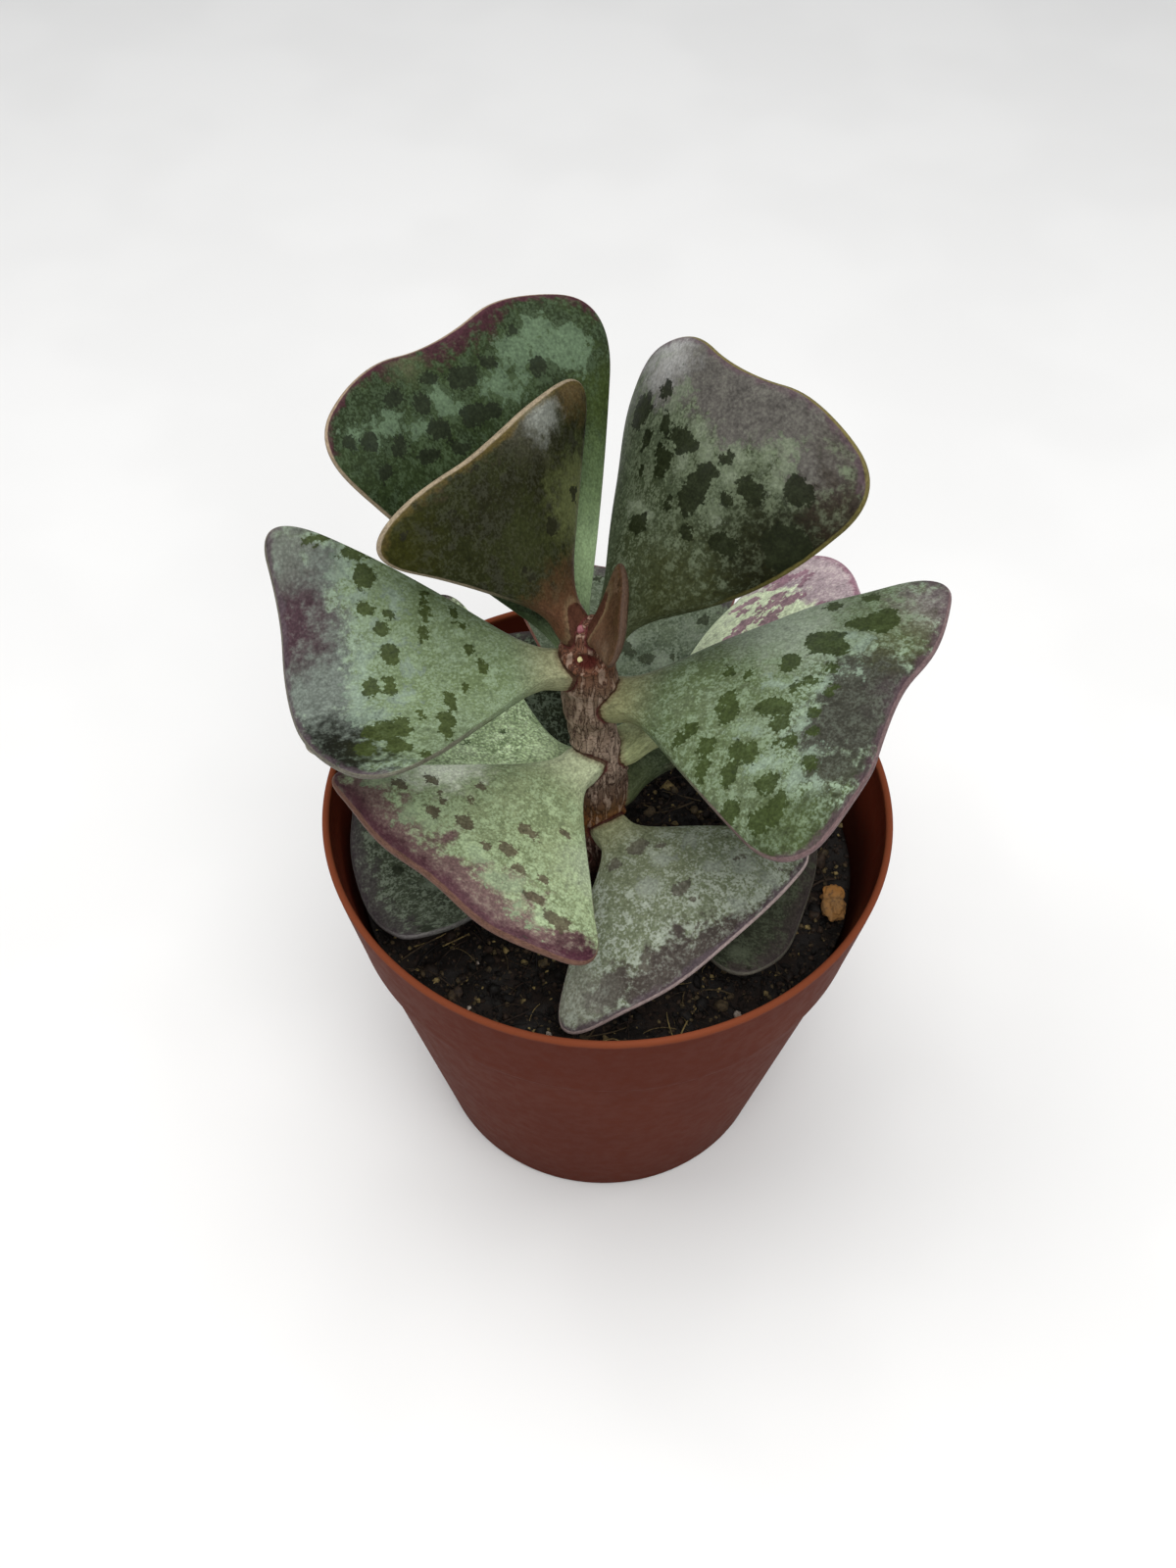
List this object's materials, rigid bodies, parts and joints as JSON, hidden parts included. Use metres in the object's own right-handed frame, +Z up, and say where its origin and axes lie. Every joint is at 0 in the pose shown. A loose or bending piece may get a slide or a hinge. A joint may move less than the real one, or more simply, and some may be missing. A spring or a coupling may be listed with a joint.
{
  "type": "potted succulent plant",
  "caption": "Small succulent with thick, spotted, fan-shaped leaves on a short woody stem, standing in soil in a round terracotta-coloured plastic pot.",
  "frame": {"origin": "centre of the pot's flat underside", "axes": "+Z up along the pot's axis; -Y towards the side that the picture shows; +X to that view's right"},
  "size_m": [0.0751, 0.07, 0.1115],
  "materials": {
    "pot": "matt moulded plastic",
    "soil": "loose dark potting compost",
    "stem": "wrinkled grey-brown bark",
    "leaf_right": "fleshy leaf, waxy bloom, dark green spots",
    "leaf_left": "fleshy leaf, waxy bloom, dark green spots",
    "leaf_back_left": "fleshy leaf, dark green with pale mottling",
    "leaf_back_right": "fleshy leaf, dark green and grey-purple",
    "leaf_upper_left": "fleshy leaf, olive green",
    "leaf_young": "young fleshy leaf, reddish brown",
    "leaf_front_left": "fleshy leaf, light green, purple far edge",
    "leaf_front_right": "fleshy leaf, grey-green with a frosty bloom",
    "leaf_low_left": "fleshy leaf, dark grey-green",
    "leaf_low_right": "fleshy leaf, dark green",
    "leaf_far_right": "fleshy leaf, pale green with purple spots",
    "leaf_far_left": "fleshy leaf, light green",
    "leaf_back": "fleshy leaf, dark grey-green",
    "leaf_low_back_left": "fleshy leaf, dark green",
    "leaf_low_back_right": "fleshy leaf, dark green",
    "pebble": "rough tan grit"
  },
  "bodies": {
    "root": {"pot": "pot", "soil": "soil", "stem": "stem", "leaf_right": "leaf_right", "leaf_left": "leaf_left", "leaf_back_left": "leaf_back_left", "leaf_back_right": "leaf_back_right", "leaf_upper_left": "leaf_upper_left", "leaf_young": "leaf_young", "leaf_front_left": "leaf_front_left", "leaf_front_right": "leaf_front_right", "leaf_low_left": "leaf_low_left", "leaf_low_right": "leaf_low_right", "leaf_far_right": "leaf_far_right", "leaf_far_left": "leaf_far_left", "leaf_back": "leaf_back", "leaf_low_back_left": "leaf_low_back_left", "leaf_low_back_right": "leaf_low_back_right", "pebble": "pebble"}
  },
  "joints": []
}
